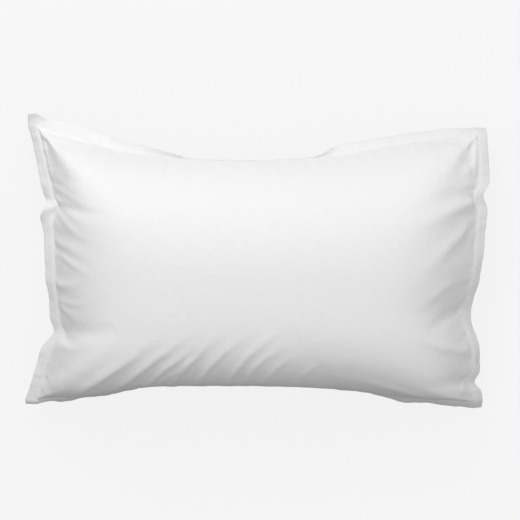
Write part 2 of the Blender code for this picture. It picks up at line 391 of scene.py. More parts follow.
def redrawn(grid: Points, rows: int, columns: int) -> Points:
    """A grid of points redrawn with other numbers of rows and columns, by smooth curves.

    Args:
        grid: the points.
        rows: how many rows to draw.
        columns: how many columns to draw.

    Returns:
        The new grid.
    """
    up = smoothing_weights(grid.shape[0], rows)
    across = smoothing_weights(grid.shape[1], columns)
    return np.einsum("ri,cj,ijk->rck", up, across, grid, optimize=True)


def evened(values: np.ndarray, passes: int) -> np.ndarray:
    """Values on a grid, evened out with the rim held.

    In each pass a value becomes half itself and half the mean of its four neighbours.

    Args:
        values: the grid.
        passes: how many passes to make.

    Returns:
        The evened grid.
    """
    even = values.copy()
    for _ in range(passes):
        around = even[:-2, 1:-1] + even[2:, 1:-1] + even[1:-1, :-2] + even[1:-1, 2:]
        even[1:-1, 1:-1] = 0.5 * even[1:-1, 1:-1] + 0.125 * around
    return even


def ripple(place: np.ndarray, wave: float, seed: int) -> np.ndarray:
    """An uneven wave that is the same each run.

    It is the sum of five sines. Their lengths lie around the wave length, and their phases come
    from a seeded draw, so that no two waves of it look alike.

    Args:
        place: places along a line, in millimetres.
        wave: the usual length of a wave, in millimetres.
        seed: a number for this ripple.

    Returns:
        Heights of about -1 to 1.
    """
    draw = np.random.default_rng(seed)
    total = np.zeros_like(place)
    for factor in RIPPLE_WAVES:
        total += np.sin(2.0 * math.pi * (place / (wave * factor) + draw.random()))
    return total / RIPPLE_SCALE


def quads(numbers: np.ndarray) -> np.ndarray:
    """The quads of a grid of point numbers, facing the viewer who sees its rows run upwards."""
    corners = (numbers[:-1, :-1], numbers[:-1, 1:], numbers[1:, 1:], numbers[1:, :-1])
    return np.stack(corners, axis=-1).reshape(-1, 4)


def mesh_object(name: str, points: Points, blocks: list[np.ndarray]) -> bpy.types.Object:
    """A smooth-shaded mesh object in the scene.

    Args:
        name: the object's name.
        points: its points, in metres, in an array whose last axis holds x, y and z.
        blocks: arrays of faces, each of which holds a face's point numbers in a row.

    Returns:
        The object.
    """
    data = bpy.data.meshes.new(name)
    faces = [face for block in blocks for face in block.tolist()]
    data.from_pydata(points.reshape(-1, 3).tolist(), [], faces)
    data.shade_smooth()
    made = bpy.data.objects.new(name, data)
    bpy.context.scene.collection.objects.link(made)
    return made


# The form --------------------


@dataclass(frozen=True)
class FilledForm:
    """The filled case's form: its seam and its two panels, as the solid has them."""

    crown_top: float = 184.0
    crown_across: float = 0.5  # where the crown stands, as shares of the panel
    crown_up: float = 0.46
    back_sag: float = -16.0  # how low the back would hang if the floor didn't hold it
    buckle_fade: float = 7.0  # the higher, the sooner buckles die out across the panel
    swell_place: float = 0.05  # where a panel swells most, as a share of its length
    swell_squareness: float = 6.0
    # How far in from the ends, and from the long sides, a crease reaches its whole height.
    crease_rise: tuple[float, float] = (10.0, 26.0)
    hip: float = 4.0  # how crisp the hips are that run in from the corners
    least_fullness: float = 1e-4
    end_span: float = 150.0  # how far the form of a side's ends reaches along it
    panel_size: tuple[float, float] = (710.0, 460.0)  # inside the flange, as sewn
    spacing_rounds: int = 3

    def seam(self, side: Side, share: Shares) -> Points:
        """Points of one side of the seam: a straight line, bowed inwards and up.

        Args:
            side: the side.
            share: places along it, from 0 to 1.

        Returns:
            A point for each place.
        """
        form = SIDE_FORMS[side]
        start, end = np.array(form.start.value), np.array(form.end.value)
        inwards = form.draw_in * bow(share, form.squareness, form.deepest)
        up = form.lift * bow(share, form.squareness)
        line = start + share[..., None] * (end - start)
        return line + up[..., None] * UP - inwards[..., None] * np.array(side.value)

    def buckled(self, side: Side, share: Shares, away: Shares) -> Points:
        """How far one side's buckles move the cloth, inwards and up.

        Args:
            side: the side.
            share: places along it, from 0 to 1.
            away: how far from it each place lies, as a share of the panel.

        Returns:
            A move for each place.
        """
        form = SIDE_FORMS[side]
        length = float(np.linalg.norm(np.subtract(form.end.value, form.start.value)))
        move = np.zeros(share.shape + (3,))
        for buckle in BUCKLES[side]:
            way = buckle.lift * UP - buckle.depth * np.array(side.value)
            move += buckle.dent(share, length)[..., None] * way
        return move * ((1.0 - away) ** self.buckle_fade)[..., None]

    def middle(self, across: Shares, up: Shares) -> Points:
        """The surface that the seam spans: each pair of sides blended, less their corners.

        Args:
            across: places from the left side, 0, to the right one, 1.
            up: places from the lower side, 0, to the upper one, 1.

        Returns:
            A point for each place.
        """
        u, v = across[..., None], up[..., None]
        corners = (
            (1 - u) * (1 - v) * np.array(Corner.LOW_LEFT.value)
            + u * (1 - v) * np.array(Corner.LOW_RIGHT.value)
            + (1 - u) * v * np.array(Corner.HIGH_LEFT.value)
            + u * v * np.array(Corner.HIGH_RIGHT.value)
        )
        between = (1 - v) * self.seam(Side.BOTTOM, across) + v * self.seam(Side.TOP, across)
        between += (1 - u) * self.seam(Side.LEFT, up) + u * self.seam(Side.RIGHT, up)
        buckles = self.buckled(Side.LEFT, up, across) + self.buckled(Side.RIGHT, up, 1 - across)
        buckles += self.buckled(Side.BOTTOM, across, up)
        buckles += self.buckled(Side.TOP, across, 1 - up)
        return between - corners + buckles

    def along_side(self, side: Side, along: Shares, values: tuple[float, ...]) -> Shares:
        """A side's values at its start, in its middle and at its end, read at places along it.

        Args:
            side: the side.
            along: places along it, from 0 to 1.
            values: the three values.

        Returns:
            A value for each place.
        """
        start, middle, end = values
        span = self.end_span / self.panel_size[side.value[0] != 0.0]
        return read_between(along, [0.0, span, 1.0 - span, 1.0], [start, middle, middle, end])

    def section(
        self, share: Shares, along: Shares, crown_at: float, low: Side, high: Side
    ) -> Shares:
        """A section of the filling, from 0 at the seams of two opposite sides to 1 at the crown.

        Each half is 1 less the distance from the crown raised to the roundness, and the whole of
        that is raised to the foot.

        Args:
            share: places from the first side to the second.
            along: places along those sides.
            crown_at: the crown's place.
            low: the first side.
            high: the second side.

        Returns:
            How full the section is at each place.
        """
        is_low = share < crown_at
        away = np.where(is_low, 1.0 - share / crown_at, (share - crown_at) / (1.0 - crown_at))
        roundness, foot = (
            np.where(
                is_low,
                self.along_side(low, along, getattr(SIDE_FORMS[low], name)),
                self.along_side(high, along, getattr(SIDE_FORMS[high], name)),
            )
            for name in ("roundness", "foot")
        )
        return np.clip(1.0 - away**roundness, 0.0, 1.0) ** foot

    def fullness(self, across: Shares, up: Shares) -> Shares:
        """How full the case is: 0 at the seam and 1 where the filling is thickest.

        It is the lesser of both sections, rounded where they meet, so that the banks of two
        sides join in a hip that runs in from each corner.

        Args:
            across: places from the left side to the right one.
            up: places from the lower side to the upper one.

        Returns:
            The fullness at each place.
        """
        long_way = self.section(across, up, self.crown_across, Side.LEFT, Side.RIGHT)
        short_way = self.section(up, across, self.crown_up, Side.BOTTOM, Side.TOP)
        least = self.least_fullness
        steeper, flatter = (np.maximum(way, least) ** -self.hip for way in (long_way, short_way))
        return (steeper + flatter - 1.0) ** (-1.0 / self.hip)

    def swell(self, share: Shares, side: Side) -> Shares:
        """How far a section swells past its seam, greatest a little way up from it."""
        place = share / self.swell_place
        return SIDE_FORMS[side].bulge * place * np.exp(1.0 - place)

    def front(self, across: Shares, up: Shares) -> Points:
        """The front panel: the seam's surface raised and swollen by the filling.

        Args:
            across: places from the left side to the right one.
            up: places from the lower side to the upper one.

        Returns:
            A point for each place.
        """
        points = self.middle(across, up)
        full = self.fullness(across, up)
        points[..., 2] += full * (self.crown_top - points[..., 2])
        points[..., 0] += self.swell(1 - across, Side.RIGHT) - self.swell(across, Side.LEFT)
        swell_up = self.swell(1 - up, Side.TOP) - self.swell(up, Side.BOTTOM)
        points[..., 1] += swell_up * bow(across, self.swell_squareness)
        return points

    def creased(self, panel: Points, across: Shares, up: Shares) -> Points:
        """The front panel with its creases, which grow from nothing at the seam.

        Args:
            panel: the panel's grid of points.
            across: each point's place from the left side to the right one.
            up: its place from the lower side to the upper one.

        Returns:
            The creased grid.
        """
        from_ends, from_sides = (
            np.minimum(share, 1.0 - share) * size / rise
            for share, size, rise in zip((across, up), self.panel_size, self.crease_rise)
        )
        rise = eased(np.minimum(from_ends, from_sides))
        x, y = panel[..., 0], panel[..., 1]
        heights = rise * sum(crease.height_at(x, y) for crease in FRONT_CREASES)
        return panel + heights[..., None] * facing_of(panel)

    def back(self, across: Shares, up: Shares) -> Points:
        """The back panel: the seam's surface lowered by the filling, and flat on the floor.

        Args:
            across: places from the left side to the right one.
            up: places from the lower side to the upper one.

        Returns:
            A point for each place.
        """
        points = self.middle(across, up)
        points[..., 2] += self.fullness(across, up) * (self.back_sag - points[..., 2])
        points[..., 2] = np.maximum(points[..., 2], 0.0)
        return points

    def spaced_lines(self, wide: Shares, high: Shares) -> tuple[Shares, Shares]:
        """Grid lines at given shares of the front panel's cloth, measured along it.

        Args:
            wide: the shares across.
            high: the shares up.

        Returns:
            Each grid point's place across and up.
        """
        across, up = np.meshgrid(wide, high)
        for _ in range(self.spacing_rounds):
            run = lengths_along(self.front(across, up), 1)
            for line, along in enumerate(run):
                across[line] = np.interp(wide * along[-1], along, across[line])
            run = lengths_along(self.front(across, up), 0)
            for line, along in enumerate(run.T):
                up[:, line] = np.interp(high * along[-1], along, up[:, line])
        return across, up


@dataclass(frozen=True)
class ClothSettling:
    """How a panel settles as cloth that its filling pushes out, between seams that hold still."""

    frames: int = 24
    quality: int = 6
    pressure: float = 3.0
    point_mass: float = 0.005
    stretch: float = 40.0
    shear: float = 10.0
    bending: float = 0.5
    # How much longer the cloth is than its start, in the middle and at the ends of the panel, how
    # far out from the middle the ends begin, and in how many steps it grows.
    slack_middle: float = 0.005
    slack_ends: float = 0.04
    slack_from: float = 0.45
    slack_steps: int = 32
    # The passes that part the broad swelling from the folds, and the shares kept of each.
    broad_passes: int = 90
    broad_share: float = 0.3
    folds_middle: float = 0.15
    folds_ends: float = 0.35

    def slack_weights(self, rows: int, columns: int) -> np.ndarray:
        """How much of the ends' spare cloth each point has, from 0 to 1 at the short sides.

        Args:
            rows: how many rows of points the panel has.
            columns: how many columns.

        Returns:
            A weight for each point, row by row.
        """
        from_middle = np.abs(np.linspace(-1.0, 1.0, columns))
        weights = np.clip((from_middle - self.slack_from) / (1.0 - self.slack_from), 0.0, 1.0)
        return np.broadcast_to(weights, (rows, columns)).ravel()

    def settled(self, start: Points, faces_up: bool) -> Points:
        """Runs the cloth on every second line, and keeps a part of its folds and of its swelling.

        Args:
            start: the panel's grid of points, in millimetres.
            faces_up: whether the filling pushes it up, or else down.

        Returns:
            The settled grid.
        """
        coarse = start[::2, ::2]
        move = self.simulated(coarse, faces_up) - coarse
        broad = evened(move, self.broad_passes)
        ends = self.slack_weights(*move.shape[:2]).reshape(move.shape[:2])
        kept = self.folds_middle + (self.folds_ends - self.folds_middle) * ends
        move = kept[..., None] * (move - broad) + self.broad_share * broad
        return start + redrawn(move, *start.shape[:2])

    def simulated(self, start: Points, faces_up: bool) -> Points:
        """Runs Blender's cloth on a panel, with its rim pinned.

        Args:
            start: the panel's grid of points, in millimetres.
            faces_up: whether the filling pushes it up, or else down.

        Returns:
            The grid after the last frame, in millimetres.
        """
        rows, columns = start.shape[:2]
        numbers = np.arange(rows * columns).reshape(rows, columns)
        faces = quads(numbers) if faces_up else quads(numbers)[:, ::-1]
        panel = mesh_object("settling", start * MM, [faces])
        inner = numbers[1:-1, 1:-1].ravel()
        rim = np.setdiff1d(numbers.ravel(), inner)
        panel.vertex_groups.new(name="rim").add(rim.tolist(), 1.0, "REPLACE")
        slack = panel.vertex_groups.new(name="slack")
        levels = np.rint(self.slack_weights(rows, columns) * self.slack_steps).astype(int)
        for level in range(self.slack_steps + 1):
            members = np.flatnonzero(levels == level).tolist()
            slack.add(members, level / self.slack_steps, "REPLACE")
        self.set_up(panel.modifiers.new("cloth", "CLOTH"))
        for frame in range(1, self.frames + 1):
            bpy.context.scene.frame_set(frame)
        done = panel.evaluated_get(bpy.context.evaluated_depsgraph_get()).data
        places = np.empty(rows * columns * 3, dtype=np.float32)
        done.vertices.foreach_get("co", places)
        bpy.data.objects.remove(panel)
        bpy.context.scene.frame_set(1)
        return places.reshape(start.shape).astype(float) / MM

    def set_up(self, cloth: bpy.types.Modifier) -> None:
        """Gives a panel pressure from within, no gravity, and spare cloth at its ends.

        Args:
            cloth: the panel's Cloth modifier.
        """
        settings = cloth.settings
        settings.vertex_group_mass = "rim"
        settings.vertex_group_shrink = "slack"
        settings.shrink_min, settings.shrink_max = -self.slack_middle, -self.slack_ends
        settings.quality = self.quality
        settings.mass = self.point_mass
        settings.tension_stiffness = settings.compression_stiffness = self.stretch
        settings.shear_stiffness = self.shear
        settings.bending_stiffness = self.bending
        settings.use_pressure = True
        settings.uniform_pressure_force = self.pressure
        settings.effector_weights.gravity = 0.0
        cloth.collision_settings.use_collision = False
        cloth.collision_settings.use_self_collision = False
        cloth.point_cache.frame_end = self.frames


# The case --------------------


@dataclass(frozen=True)
class Wave:
    """A ripple of the cloth: its height and length, and the first seed of its four sides."""

    height: float
    length: float
    seed: int

    def at(self, place: np.ndarray, number: int) -> np.ndarray:
        """The wave's heights at places along the side of this number."""
        return self.height * ripple(place, self.length, self.seed + number)


@dataclass
class Case:
    """The pillowcase's cloth: two panels and the flange outside their topstitched seam."""

    form: FilledForm = FilledForm()
    columns: int = 260
    rows: int = 160
    crowding: float = 0.3
    flange_width: float = 20.0
    # Shares of the flange's width at which its rings of points lie, the first at the stitches,
    # and half its thickness at the seam and at each of those rings.
    rings: tuple[float, ...] = (0.05, 0.13, 0.28, 0.46, 0.54, 0.75, 0.96, 1.00)
    half_thickness: tuple[float, ...] = (0.40, 0.30, 0.66, 0.72, 0.72, 0.50, 0.50, 0.48, 0.24)
    # The flange's waves: long ones and short ones that grow to its hem, the long ones faster, and
    # the small gathers in its middle.
    long_wave: Wave = Wave(1.6, 90.0, 0)
    short_wave: Wave = Wave(0.5, 31.0, 10)
    middle_wave: Wave = Wave(0.9, 13.0, 20)
    long_growth: float = 1.5
    # The gathers beside the seam, how far each kind reaches over the panel, and how far they take
    # to rise from the seam.
    gathers: tuple[tuple[Wave, float], ...] = (
        (Wave(0.5, 14.0, 0), 12.0),
        (Wave(0.9, 36.0, 8), 34.0),
    )
    gather_rise: float = 3.0
    front_seed: int = 3
    back_seed: int = 19
    # The side of the square that the cloth is laid out on, the gap round each piece on it, and how
    # far the hem's strip stands out from the front's, as a share.
    bake_span: float = 1020.0
    bake_gap: float = 10.0
    hem_strip: float = 1.005
    front_settling: ClothSettling = ClothSettling()
    back_settling: ClothSettling = ClothSettling(frames=16)

    def build(self, box: Box) -> bpy.types.Object:
        """Builds the cloth in the place of the solid.

        Args:
            box: the solid's box, in metres.

        Returns:
            The cloth, one closed mesh.
        """
        lines = crowded(self.columns, self.crowding), crowded(self.rows, self.crowding)
        across, up = self.form.spaced_lines(*lines)
        flange = self.flange_surface(across, up)
        facing = self.flange_facing(across, up)
        half = self.ring_values(self.half_thickness)[..., None]
        self.front_flange, self.back_flange = flange + half * facing, flange - half * facing
        self.facing = facing
        front = self.framed(self.form.front(across, up), self.front_flange)
        front = self.front_settling.settled(front, faces_up=True)
        front = self.form.creased(front, across, up)
        front = self.puckered(front, 1.0, self.front_seed)
        back = self.framed(self.form.back(across, up), self.back_flange)
        back = self.back_settling.settled(back, faces_up=False)
        back = self.puckered(back, -1.0, self.back_seed)
        back[..., 2] = np.maximum(back[..., 2], 0.0)
        count = len(self.rings)
        inner = np.s_[count:-count, count:-count]
        self.front_flange[inner], self.back_flange[inner] = front, back
        self.move_into(box)
        return self.closed_mesh()

    def move_into(self, box: Box) -> None:
        """Centres both layers over the solid, as seen from above.

        Args:
            box: the solid's box, in metres.
        """
        rim = np.concatenate([self.front_flange[0], self.front_flange[-1]])
        ends = np.concatenate([self.front_flange[:, 0], self.front_flange[:, -1]])
        both = np.concatenate([rim, ends])[:, :2]
        middle = (both.min(axis=0) + both.max(axis=0)) / 2.0
        wanted = np.array((box[0] + box[1])[:2]) / 2.0 / MM
        for layer in (self.front_flange, self.back_flange):
            layer[..., :2] += wanted - middle

    def reaches(self) -> dict[Side, np.ndarray]:
        """How far out over each side's flange every grid point lies.

        Returns:
            For each side, 0 on the panel and 1 at the hem.
        """
        rings = np.array(self.rings)
        across = np.concatenate([-rings[::-1], np.zeros(self.columns + 1), rings])
        up = np.concatenate([-rings[::-1], np.zeros(self.rows + 1), rings])
        x, y = np.meshgrid(across, up)
        signed = {Side.LEFT: -x, Side.RIGHT: x, Side.BOTTOM: -y, Side.TOP: y}
        return {side: np.maximum(reach, 0.0) for side, reach in signed.items()}

    def ring_values(self, values: tuple[float, ...]) -> np.ndarray:
        """A value for every grid point from one for the seam and one for each ring."""
        farthest = np.max(list(self.reaches().values()), axis=0)
        return np.interp(farthest, (0.0, *self.rings), values)

    def side_shares(self, across: Shares, up: Shares) -> dict[Side, Shares]:
        """Where every grid point lies along each side, carried on over the flange."""
        across, up = (np.pad(share, len(self.rings), mode="edge") for share in (across, up))
        return {Side.LEFT: up, Side.RIGHT: up, Side.BOTTOM: across, Side.TOP: across}

    def droop(self, side: Side, share: Shares, reach: Shares) -> tuple[Points, Points]:
        """How the flange lies at each place of a side.

        Its angle changes evenly from the seam to the hem, so it runs along an arc of a circle.
        The way to a point of it is that arc's chord.

        Args:
            side: the side.
            share: places along it.
            reach: how far out over the flange each place lies.

        Returns:
            Where the flange has come to from the seam, as a share of its width, and the way
            that its front faces there.
        """
        rows = DROOPS[side]
        places = [row.at for row in rows]
        angle = np.radians(read_between(share, places, [row.angle for row in rows]))
        curl = np.radians(read_between(share, places, [row.curl for row in rows]))
        outward = np.array(side.value)
        here, chord = (angle + curl * reach)[..., None], (angle + curl * reach / 2.0)[..., None]
        length = (reach * np.sinc(curl * reach / (2.0 * math.pi)))[..., None]
        way = length * (np.cos(chord) * outward - np.sin(chord) * UP)
        return way, np.cos(here) * UP + np.sin(here) * outward

    def flange_surface(self, across: Shares, up: Shares) -> Points:
        """The middle of the flange: the seam carried on outwards, with waves that grow to its hem.

        Args:
            across: the panel points' places across.
            up: their places up.

        Returns:
            A point for each grid point. On the panel it is the surface that the seam spans.
        """
        shares = self.side_shares(across, up)
        points = self.form.middle(shares[Side.BOTTOM], shares[Side.LEFT])
        for number, (side, reach) in enumerate(self.reaches().items()):
            way, faces = self.droop(side, shares[side], reach)
            length = self.form.panel_size[side.value[0] != 0.0]
            place = shares[side] * length
            wave = reach**self.long_growth * self.long_wave.at(place, number)
            wave += reach * self.short_wave.at(place, number)
            wave += reach * (1.0 - reach) * self.middle_wave.at(place, number)
            points += self.flange_width * way + wave[..., None] * faces
        return points

    def flange_facing(self, across: Shares, up: Shares) -> Points:
        """Which way the front of the flange faces; on the panel it is simply up.

        Args:
            across: the panel points' places across.
            up: their places up.

        Returns:
            A way of length 1 for each grid point.
        """
        shares = self.side_shares(across, up)
        place_across, place_up = shares[Side.BOTTOM], shares[Side.LEFT]
        on_side = {
            Side.LEFT: place_across == 0.0,
            Side.RIGHT: place_across == 1.0,
            Side.BOTTOM: place_up == 0.0,
            Side.TOP: place_up == 1.0,
        }
        facing = np.zeros(place_up.shape + (3,))
        reaches = self.reaches()
        for side, here in on_side.items():
            facing += here[..., None] * self.droop(side, shares[side], reaches[side])[1]
        facing[~facing.any(axis=-1)] = UP
        return unit(facing)

    def framed(self, panel: Points, flange: Points) -> Points:
        """A panel whose rim is the flange's seam line.

        Args:
            panel: the panel's grid of points.
            flange: the whole layer's grid, panel and flange.

        Returns:
            The panel with its new rim.
        """
        count = len(self.rings)
        seam = flange[count:-count, count:-count].copy()
        seam[1:-1, 1:-1] = panel[1:-1, 1:-1]
        return seam

    def cloth_places(self) -> tuple[np.ndarray, np.ndarray]:
        """Where every grid point lies on the flat cloth.

        Returns:
            How far across and how far up from the seam's lower left corner, in millimetres.
        """
        wide, high = self.form.panel_size
        out = np.array(self.rings) * self.flange_width
        inner_x = wide * crowded(self.columns, self.crowding)
        inner_y = high * crowded(self.rows, self.crowding)
        across = np.concatenate([-out[::-1], inner_x, wide + out])
        up = np.concatenate([-out[::-1], inner_y, high + out])
        return np.meshgrid(across, up)

    def puckered(self, panel: Points, outward: float, seed: int) -> Points:
        """A panel with the small gathers that its stitches pull into the cloth beside the seam.

        They are ripples along each side that die out across the panel, fine ones sooner than
        broad ones. At the seam itself they are nothing.

        Args:
            panel: the panel's grid of points.
            outward: 1 if the panel faces the way that its grid does, and -1 if it doesn't.
            seed: a number for the gathers.

        Returns:
            The gathered grid.
        """
        count = len(self.rings)
        x, y = (place[count:-count, count:-count] for place in self.cloth_places())
        wide, high = self.form.panel_size
        heights = np.zeros_like(x)
        for number, (away, along) in enumerate(((x, y), (wide - x, y), (y, x), (high - y, x))):
            rise = 1.0 - np.exp(-away / self.gather_rise)
            for wave, far in self.gathers:
                heights += rise * wave.at(along, seed + number) * np.exp(-away / far)
        return panel + outward * heights[..., None] * facing_of(panel)

    def closed_mesh(self) -> bpy.types.Object:
        """Joins the two layers round the hem, and lays the cloth out flat for its finish.

        Returns:
            The cloth.
        """
        layers = np.stack([self.front_flange, self.back_flange])
        front, back = np.arange(layers[..., 0].size).reshape(layers.shape[:3])
        rim = self.hem_faces(front, back)
        cloth = mesh_object("case_cloth", layers * MM, [quads(front), quads(back)[:, ::-1], rim])
        x, y = self.cloth_places()
        wide, high = self.form.panel_size
        edge = np.minimum(np.minimum(x, wide - x), np.minimum(y, high - y))
        from_stitch = cloth.data.attributes.new(STITCH_ATTRIBUTE, "FLOAT", "POINT")
        from_stitch.data.foreach_set("value", np.tile(edge.ravel(), 2).astype(np.float32))
        self.lay_out(cloth, front, back, rim)
        return cloth

    def hem_faces(self, front: np.ndarray, back: np.ndarray) -> np.ndarray:
        """The faces that close the hem.

        Args:
            front: the point numbers of the front layer.
            back: those of the back layer.

        Returns:
            The faces, in their order round the hem.
        """
        low, high = (
            np.concatenate([grid[0, :-1], grid[:-1, -1], grid[-1, :0:-1], grid[:0:-1, 0]])
            for grid in (back, front)
        )
        return np.stack([low, np.roll(low, -1), np.roll(high, -1), high], axis=1)

    def lay_out(
        self, cloth: bpy.types.Object, front: np.ndarray, back: np.ndarray, rim: np.ndarray
    ) -> None:
        """Gives the cloth its UV map: the front panel flat above the back one, in millimetres.

        Args:
            cloth: the cloth.
            front: the point numbers of its front layer.
            back: those of its back layer.
            rim: the faces of its hem, which lie just outside the front layer.
        """
        x, y = self.cloth_places()
        wide, high = self.form.panel_size
        margin = self.flange_width + self.bake_gap
        upper = np.stack([x + margin, y + high + 2 * margin + self.bake_gap], axis=-1)
        lower = np.stack([wide - x + margin, y + margin], axis=-1)
        places = np.concatenate([upper.reshape(-1, 2), lower.reshape(-1, 2)]) / self.bake_span
        centre = upper.reshape(-1, 2).mean(axis=0) / self.bake_span
        outside = places.copy()
        outside[back.ravel()] = centre + self.hem_strip * (places[front.ravel()] - centre)
        corners = np.concatenate(
            [places[quads(front)], places[quads(back)[:, ::-1]], outside[rim]]
        )
        layer = cloth.data.uv_layers.new(name=UV_NAME)
        layer.data.foreach_set("uv", corners.ravel().astype(np.float32))

    def stitch_lines(self) -> list[tuple[Points, Points]]:
        """The topstitched line along each side of each layer.

        Returns:
            Each line's points, and which way the cloth faces at each of them.
        """
        low, high = len(self.rings) - 1, -len(self.rings)
        inner = slice(low + 1, high)
        sides = ((low, inner), (high, inner), (inner, low), (inner, high))
        lines = []
        for layer, outward in ((self.front_flange, 1.0), (self.back_flange, -1.0)):
            lines += [(layer[side], outward * self.facing[side]) for side in sides]
        return lines


@dataclass(frozen=True)
class Topstitching:
    """The lockstitches that hold both panels together along the seam, in millimetres."""

    pitch: float = 3.2
    length: float = 2.6
    radius: float = 0.24
    arch: float = 0.22
    sunk: float = 0.12
    sides: int = 6
    bearing: float = 1.0  # how far before and behind a stitch its line is read for its way
    # Where the rings of a stitch lie along it, and how thick it is there. It ends in points.
    stations: tuple[float, ...] = (-0.42, -0.18, 0.18, 0.42)
    widths: tuple[float, ...] = (0.72, 1.0, 1.0, 0.72)

    def single(self) -> tuple[Points, list[np.ndarray]]:
        """One stitch along X, arched over the cloth: a spindle whose ends sink into it.

        Returns:
            Its points and its blocks of faces.
        """
        place = np.array((-0.5, *self.stations, 0.5))
        height = self.arch * (1.0 - (2.0 * place) ** 2) - self.sunk
        turn = 2.0 * math.pi * np.arange(self.sides) / self.sides
        width = self.radius * np.array(self.widths)[:, None]
        x = np.repeat(place[1:-1, None] * self.length, self.sides, axis=1)
        z = width * np.sin(turn) + height[1:-1, None]
        rings = np.stack([x, width * np.cos(turn), z], axis=-1).reshape(-1, 3)
        ends = [(place[end] * self.length, 0.0, height[end]) for end in (0, -1)]
        numbers = np.arange(len(rings)).reshape(-1, self.sides)
        closed = np.concatenate([numbers, numbers[:, :1]], axis=1)
        first, last = np.full(self.sides, len(rings)), np.full(self.sides, len(rings) + 1)
        caps = [
            np.stack([first, closed[0, :-1], closed[0, 1:]], axis=1),
            np.stack([last, closed[-1, 1:], closed[-1, :-1]], axis=1),
        ]
        return np.concatenate([rings, ends]), [quads(closed)[:, ::-1], *caps]

    def places(self, line: Points, facing: Points) -> tuple[Points, Points]:
        """Spaces stitches evenly along a line.

        Args:
            line: the line's points.
            facing: which way the cloth faces at each.

        Returns:
            Each stitch's middle, and its three axes as the rows of a matrix.
        """
        run = lengths_along(line, 0)
        count = max(1, round(run[-1] / self.pitch))
        at = (np.arange(count) + 0.5) * run[-1] / count

        def read(values: Points, where: np.ndarray) -> Points:
            """Values along the line, read at lengths along it."""
            return np.stack([np.interp(where, run, values[:, axis]) for axis in range(3)], axis=-1)

        ahead = unit(read(line, at + self.bearing) - read(line, at - self.bearing))
        away = read(facing, at)
        away = unit(away - (away * ahead).sum(axis=1, keepdims=True) * ahead)
        return read(line, at), np.stack([ahead, np.cross(away, ahead), away], axis=1)

    def build(self, lines: list[tuple[Points, Points]]) -> bpy.types.Object:
        """Sews stitches along every line and joins them into one mesh.

        Args:
            lines: each line's points, and which way the cloth faces there.

        Returns:
            The stitches.
        """
        stitch, blocks = self.single()
        placed = [self.places(line, facing) for line, facing in lines]
        middles = np.concatenate([middle for middle, _ in placed])
        axes = np.concatenate([turned for _, turned in placed])
        points = middles[:, None] + np.einsum("pa,saj->spj", stitch, axes)
        first = (np.arange(len(middles)) * len(stitch))[:, None, None]
        faces = [(block[None] + first).reshape(-1, block.shape[1]) for block in blocks]
        return mesh_object("topstitching", points * MM, faces)


# Finishes --------------------


class Wiring:
    """Adds nodes to one node tree and links them as it goes."""

    def __init__(self, tree: bpy.types.NodeTree) -> None:
        """Starts from an empty tree."""
        self.tree = tree
        tree.nodes.clear()

    def add(self, kind: str, inputs: dict | None = None, **settings: object) -> bpy.types.Node:
        """Adds a node.

        Args:
            kind: the node's type, without its leading word ShaderNode.
            inputs: a value or an output for each of its inputs, by name or number.
            settings: its other settings.

        Returns:
            The node.
        """
        prefix = "" if kind.startswith("NodeGroup") else "ShaderNode"
        node = self.tree.nodes.new(prefix + kind)
        for name, value in settings.items():
            setattr(node, name, value)
        for name, value in (inputs or {}).items():
            if isinstance(value, bpy.types.NodeSocket):
                self.tree.links.new(value, node.inputs[name])
            else:
                node.inputs[name].default_value = value
        return node

    def math(self, operation: str, *values: object) -> bpy.types.NodeSocket:
        """The outcome of a Math node."""
        return self.add("Math", dict(enumerate(values)), operation=operation).outputs[0]

    def spread(self, value: object, low: float, high: float) -> bpy.types.NodeSocket:
        """A value stretched so that low becomes 0 and high becomes 1, and held between them."""
        inputs = {"Value": value, "From Min": low, "From Max": high}
        return self.add("MapRange", inputs).outputs["Result"]

    def group(self, tree: bpy.types.NodeTree, **inputs: object) -> bpy.types.NodeSocket:
        """The first output of a node group."""
        named = {name.replace("_", " ").title(): value for name, value in inputs.items()}
        return self.add("Group", named, node_tree=tree).outputs[0]


def pattern_group(name: str, numbers: tuple[str, ...]) -> tuple[Wiring, bpy.types.Node]:
    """Starts a node group that works out a height from a place on the cloth.

    Args:
        name: the group's name.
        numbers: the names of its number inputs. A vector named Place comes before them.

    Returns:
        The group's wiring and the node that gives its inputs.
    """
    tree = bpy.data.node_groups.new(name, "ShaderNodeTree")
    tree.interface.new_socket(name="Place", in_out="INPUT", socket_type="NodeSocketVector")
    for number in numbers:
        tree.interface.new_socket(name=number, in_out="INPUT", socket_type="NodeSocketFloat")
    tree.interface.new_socket(name="Height", in_out="OUTPUT", socket_type="NodeSocketFloat")
    wiring = Wiring(tree)
    return wiring, wiring.add("NodeGroupInput")


